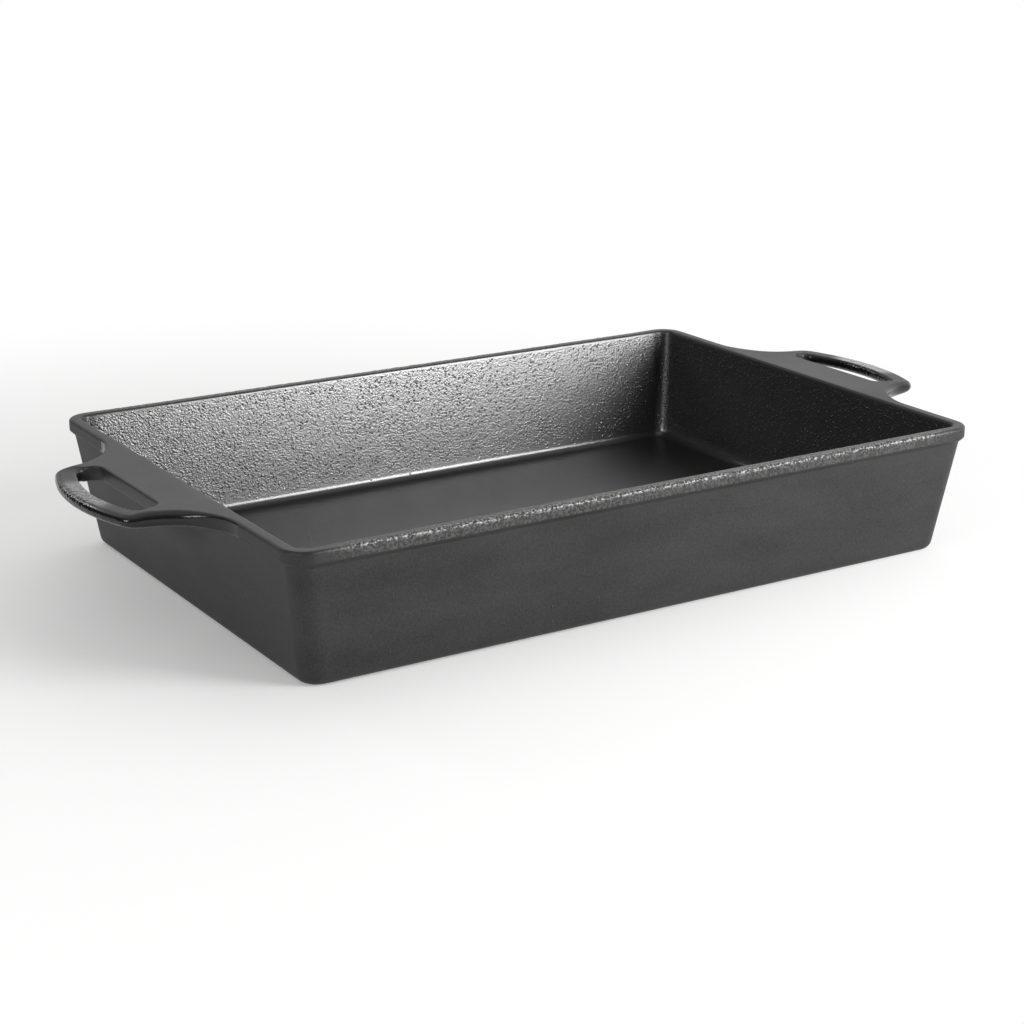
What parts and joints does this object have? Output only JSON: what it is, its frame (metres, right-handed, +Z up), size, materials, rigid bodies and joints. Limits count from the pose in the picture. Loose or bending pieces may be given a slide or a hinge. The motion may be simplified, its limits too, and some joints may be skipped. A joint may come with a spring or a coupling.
{
  "type": "casserole pan",
  "caption": "Deep rectangular cast-iron casserole pan with drafted walls, a stepped rim band and a flat loop handle with a finger slot at each end.",
  "frame": {"origin": "middle of the flat underside, on the surface that the pan stands on", "axes": "+X from the left handle to the right handle, +Y from the front long wall to the back one, +Z up"},
  "size_m": [0.4276, 0.237, 0.0596],
  "materials": {
    "seasoned_iron": "black baked-oil seasoning over sand-cast grey iron, satin, pebbled on the inner walls"
  },
  "bodies": {
    "root": {"pan_floor": "seasoned_iron", "side_wall": "seasoned_iron", "rim": "seasoned_iron", "left_handle": "seasoned_iron", "right_handle": "seasoned_iron"}
  },
  "joints": []
}
